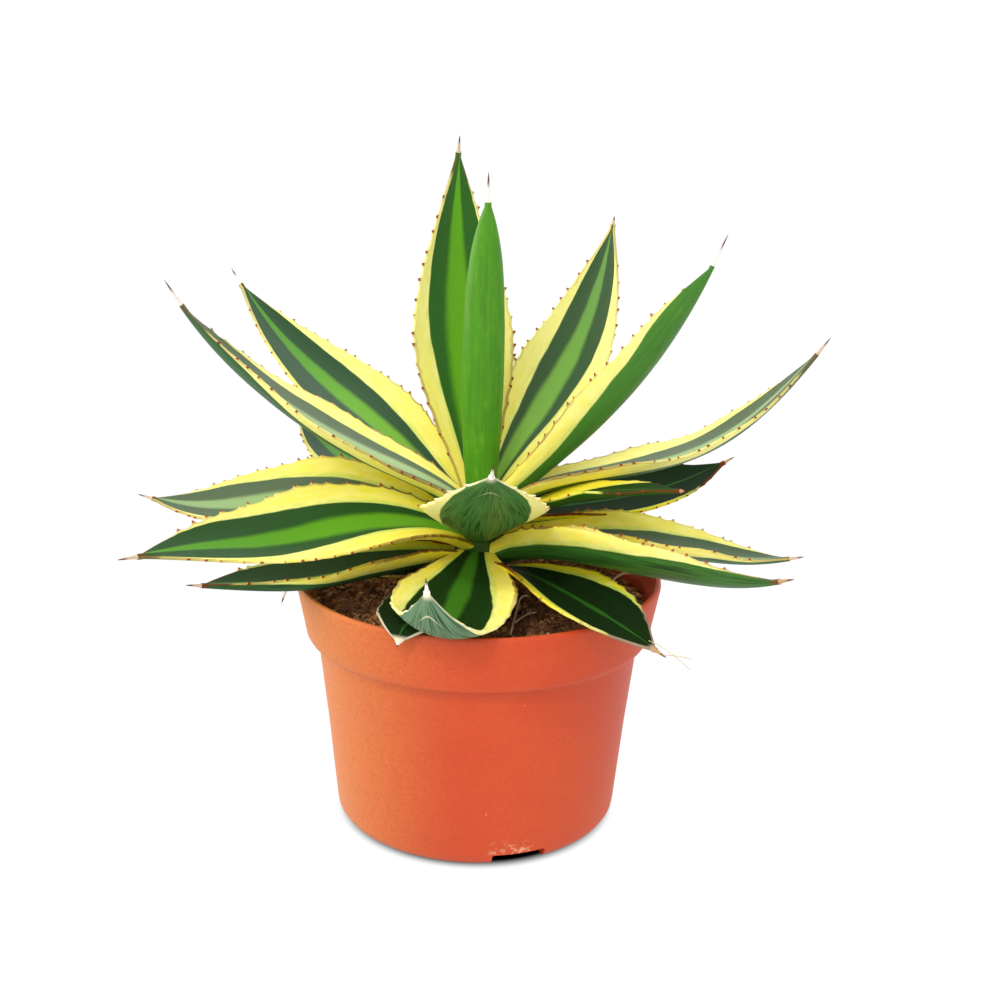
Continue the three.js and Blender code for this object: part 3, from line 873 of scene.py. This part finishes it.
# where each mask starts and ends, and for some its strength at the start and the end. Places are in metres.
potEases = {
    "cloud": (0.3, 0.7), "fine": (0.35, 0.7, 0.0, 0.28), "paintedLeftLight": (-0.062, 0.002),
    "scuffBelow": (0.005, 0.011, 1.0, 0.0), "scuffFront": (-0.046, -0.04, 1.0, 0.0),
    "scuffRight": (0.004, 0.008), "scuffLeft": (0.018, 0.022, 1.0, 0.0), "scuff": (0.5, 0.62),
    "speck": (0.79, 0.82), "rough": (0.3, 0.7, 0.48, 0.56),
}
# scale and detail of each noise, and for the scuffs its roughness
potGrain = {"cloud": (26.0, 3.0), "fine": (900.0, 2.0), "scuff": (420.0, 5.0, 0.7), "speck": (420.0, 1.0)}
potFinish = {"scuffStrength": 0.6, "speckStrength": 0.2, "shine": 0.32, "bump": (0.08, 0.0003)}


def plasticMaterial():
    material, tree, shader = freshMaterial("terracottaPlastic")
    place = objectCoordinates(tree)
    axes = axesOf(tree, place)
    cloud, fine, rubbed, dotted = (noiseAt(tree, place, *given) for given in potGrain.values())

    def mask(value, name):
        return easeBetween(tree, value, *potEases[name])

    base = blendColours(tree, mask(cloud, "cloud"), potColours["deep"], potColours["light"])
    # towards -X the plastic is painted a clearly lighter orange: a painted highlight standing in for the
    # strong light on that side
    base = blendColours(tree, mask(axes["X"], "paintedLeftLight"), potColours["paintedLeftLight"], base)
    base = blendColours(tree, mask(fine, "fine"), base, potColours["fine"])
    # pale scuffs in front, just above the middle drain slot
    between = times(tree, mask(axes["X"], "scuffRight"), mask(axes["X"], "scuffLeft"))
    scuff = times(tree, mask(rubbed, "scuff"), mask(axes["Z"], "scuffBelow"))
    scuff = times(tree, scuff, times(tree, mask(axes["Y"], "scuffFront"), between))
    base = blendColours(tree, times(tree, scuff, potFinish["scuffStrength"]), base, potColours["scuff"])
    speck = times(tree, mask(dotted, "speck"), potFinish["speckStrength"])
    base = blendColours(tree, speck, base, potColours["speck"])
    fill(tree, shader.inputs["Base Color"], base)
    fill(tree, shader.inputs["Roughness"], mask(cloud, "rough"))
    shader.inputs["Specular IOR Level"].default_value = potFinish["shine"]
    bumped(tree, shader, fine, *potFinish["bump"])
    return material


def cutSlot(pot, turn):  # a drain slot where the foot meets the wall
    clearSelection()
    reach = potShape["slotReach"] * mm
    bpy.ops.mesh.primitive_cube_add(
        size=1, location=(reach * math.cos(turn), reach * math.sin(turn), 0),
        rotation=(0, 0, turn), scale=[n * mm for n in potShape["slotSize"]])
    cutter = named("slotCutter")
    settle(cutter)
    editAll(cutter)
    bpy.ops.mesh.bevel(offset=potShape["slotBevel"] * mm, segments=2, affect="EDGES")
    clearSelection()
    cut = pot.modifiers.new("slot", "BOOLEAN")
    cut.operation = "DIFFERENCE"
    cut.solver = "EXACT"
    cut.object = cutter
    pick(pot)
    bpy.ops.object.modifier_apply(modifier="slot")
    bpy.data.objects.remove(cutter)


def makePot():
    pot = turnedPiece("nurseryPot", potShape["profile"], potShape["sides"])
    for k in range(potShape["slots"]):
        cutSlot(pot, math.radians(potShape["slotTurn"] + 360 / potShape["slots"] * k))
    smoothed(pot, potShape["smooth"])
    pot.data.materials.append(plasticMaterial())
    return finished(pot, "pot_plastic", "pot")


makePot()
print("pot ready")


# Potting mix: a rough mound with loose grains, and a few dry roots

soilShape = {  # mm
    "sides": 132, "rings": 34, "rim": 56.1, "height": 75.5, "smooth": 50,
    "hole": [(6, 61.7), (8.8, 61.7), (8.8, 78)],  # radius and height, up the pit that the crown stands in
    "top": 76, "body": [(56, 69), (52.1, 62.8), (46.7, 9.3), (42.9, 2.7), (3, 2.7)],
    "mound": 2.5, "shoulder": 40,
    "dip": 1.2, "dipFrom": 50, "dipWidth": 6,  # towards the pot's wall
    "lumps": ((1.5, 4, 0.11), (0.8, 9, 0.42)),  # height, layer of the noise, scale
}
grainShape = {  # sizes and reach in mm
    "count": 2600, "smallest": 0.45, "largest": 1.7, "mostlySmall": 2.6, "seed": 11, "kinds": 5,
    "roughness": 0.5, "lumpScale": 1.3, "reach": (9.5, 55.2), "stretch": (0.6, 1.3), "above": 0.25,
    "smooth": 40,
}
soilLooks = {
    "dark": tone(82, 48, 26), "light": tone(188, 124, 74), "chip": tone(226, 174, 116), "chips": (0.82, 0.93),
    "dust": tone(84, 50, 30), "dusty": (0.4, 0.7, 0.0, 0.5), "dustGrain": (700.0, 3.0),
    "rough": 0.95, "bump": (0.6, 0.0006),
    # scale of the cells, and how strong the pale chips are
    "pottingMixDark": (520.0, 0.35), "looseGrainBrown": (330.0, 0.8),
}
strawLooks = {
    "dark": tone(186, 152, 108), "light": tone(240, 220, 182), "cloud": (260.0, 3.0), "rough": 0.8,
}


def soilLevel(x, y):
    reach = math.hypot(x, y)
    mound = soilShape["mound"] * max(0, 1 - reach / soilShape["shoulder"])
    dip = -soilShape["dip"] * max(0, (reach - soilShape["dipFrom"]) / soilShape["dipWidth"])
    lump = 0
    for height, layer, scale in soilShape["lumps"]:
        lump += height * noise.noise(Vector((x, y, layer)) * scale)
    return soilShape["height"] + mound + dip + lump


def soilMaterial(name):
    material, tree, shader = freshMaterial(name)
    place = objectCoordinates(tree)
    cellScale, paleness = soilLooks[name]
    cells = put(tree, "ShaderNodeTexVoronoi", Vector=place, Scale=cellScale)
    each = put(tree, "ShaderNodeSeparateColor", Color=cells.outputs["Color"]).outputs[0]
    base = blendColours(tree, each, soilLooks["dark"], soilLooks["light"])
    chips = easeBetween(tree, each, *soilLooks["chips"], 0.0, paleness)
    base = blendColours(tree, chips, base, soilLooks["chip"])
    dust = noiseAt(tree, place, *soilLooks["dustGrain"])
    base = blendColours(tree, easeBetween(tree, dust, *soilLooks["dusty"]), base, soilLooks["dust"])
    fill(tree, shader.inputs["Base Color"], base)
    shader.inputs["Roughness"].default_value = soilLooks["rough"]
    bumped(tree, shader, dust, *soilLooks["bump"])
    return material


def makeSoil():
    rim, rings, inner = soilShape["rim"], soilShape["rings"], soilShape["hole"][-1][0]
    top = [(inner + (rim - inner) * k / rings, soilShape["top"]) for k in range(1, rings + 1)]
    soil = turnedPiece("pottingMix", soilShape["hole"] + top + soilShape["body"], soilShape["sides"])
    for vertex in soil.data.vertices:
        x, y, z = vertex.co / mm
        if z > soilShape["top"] - 1:
            vertex.co.z = soilLevel(x, y) * mm
    editAll(soil)
    bpy.ops.mesh.normals_make_consistent(inside=False)
    smoothed(soil, soilShape["smooth"])
    soil.data.materials.append(soilMaterial("pottingMixDark"))
    return finished(soil, "potting_mix", "soil")


def grainSeed(k):
    clearSelection()
    bpy.ops.mesh.primitive_ico_sphere_add(subdivisions=1, radius=1)
    seed = named("grainSeed%d" % k)
    for vertex in seed.data.vertices:
        lump = noise.noise(vertex.co * grainShape["lumpScale"] + Vector((k * 5, 0, 0)))
        vertex.co *= 1 + grainShape["roughness"] * lump
    return seed


def makeGrains():
    dice = random.Random(grainShape["seed"])
    seeds = [grainSeed(k) for k in range(grainShape["kinds"])]
    nearest, furthest = grainShape["reach"]
    smallest, largest = grainShape["smallest"], grainShape["largest"]
    pile = bmesh.new()
    for _ in range(grainShape["count"]):
        reach = math.sqrt(dice.uniform(nearest ** 2, furthest ** 2))
        turn = dice.uniform(0, 2 * math.pi)
        x, y = reach * math.cos(turn), reach * math.sin(turn)
        size = smallest + (largest - smallest) * dice.random() ** grainShape["mostlySmall"]
        stretch = [size * dice.uniform(*grainShape["stretch"]) * mm for _ in range(3)]
        where = Matrix.Translation(Vector((x, y, soilLevel(x, y) + grainShape["above"] * size)) * mm)
        spinRound = Quaternion([dice.gauss(0, 1) for _ in range(4)]).normalized().to_matrix().to_4x4()
        copy = seeds[dice.randrange(len(seeds))].data.copy()
        copy.transform(where @ spinRound @ Matrix.Diagonal(stretch + [1]))
        pile.from_mesh(copy)
        bpy.data.meshes.remove(copy)
    grains = bpy.data.objects.new("looseGrains", bpy.data.meshes.new("looseGrains"))
    bpy.context.collection.objects.link(grains)
    pile.to_mesh(grains.data)
    pile.free()
    for seed in seeds:
        bpy.data.objects.remove(seed)
    smoothed(grains, grainShape["smooth"])
    grains.data.materials.append(soilMaterial("looseGrainBrown"))
    return finished(grains, "potting_mix")


def strawMaterial():
    material, _, shader, _ = cloudyMaterial("dryRoot", strawLooks)
    shader.inputs["Roughness"].default_value = strawLooks["rough"]
    return material


dryRoots = {  # thickness and places in mm
    "rootByHeart": (0.75, [(16, -8, 79), (13.6, -15, 81.5), (12.4, -26, 80), (10.6, -38, 77)]),
    "rootBranch": (0.5, [(19, -21, 78), (16, -27, 80.5), (12, -33, 79)]),
    "rootRight": (0.8, [(44, 6, 78.5), (48, 9, 81.5), (52, 11, 81), (56, 14, 80)]),
    "rootLeft": (0.5, [(-30, -40, 77), (-27, -31, 79)]),
    "dryThread": (0.2, [(50.6, -68, 88), (56, -71, 87), (62, -76, 82.5)]),
    "tipThread": (0.25, [(54, -75, 86.4), (58, -77, 87.4), (62, -79, 87)]),
}


def makeRoot(name, thickness, places, straw):
    clearSelection()
    bpy.ops.curve.primitive_nurbs_path_add(radius=0.01)
    path = bpy.context.active_object
    path.data.splines.clear()
    run = path.data.splines.new("NURBS")
    run.points.add(len(places) - 1)
    for point, place in zip(run.points, places):
        point.co = (*(Vector(place) * mm), 1)
    run.order_u, run.use_endpoint_u, run.resolution_u = 3, True, 6
    path.data.dimensions = "3D"
    path.data.bevel_depth = thickness / 2 * mm
    path.data.bevel_resolution = 1
    path.data.use_fill_caps = True
    pick(path)
    bpy.ops.object.convert(target="MESH")
    root = named(name)
    smoothed(root)
    root.data.materials.append(straw)
    return finished(root, "potting_mix")


makeSoil()
makeGrains()
straw = strawMaterial()
for name, (thickness, places) in dryRoots.items():
    makeRoot(name, thickness, places, straw)
print("potting mix ready")


# The heart that the leaves grow from

# the crown's own dark green is made darker still as painted shade, deep among the leaf bases
crownLooks = {
    "dark": tone(30, 60, 18), "light": tone(66, 96, 32), "cloud": (160.0, 3.0),
    "rough": (0.3, 0.7, 0.45, 0.6), "shine": 0.1, "bump": (0.2, 0.0004),
}


def crownMaterial():
    material, tree, shader, cloud = cloudyMaterial("crownFlesh", crownLooks)
    fill(tree, shader.inputs["Roughness"], easeBetween(tree, cloud, *crownLooks["rough"]))
    shader.inputs["Specular IOR Level"].default_value = crownLooks["shine"]
    bumped(tree, shader, cloud, *crownLooks["bump"])
    return material


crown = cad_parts["crown"]
crown.data.materials.clear()
crown.data.materials.append(crownMaterial())
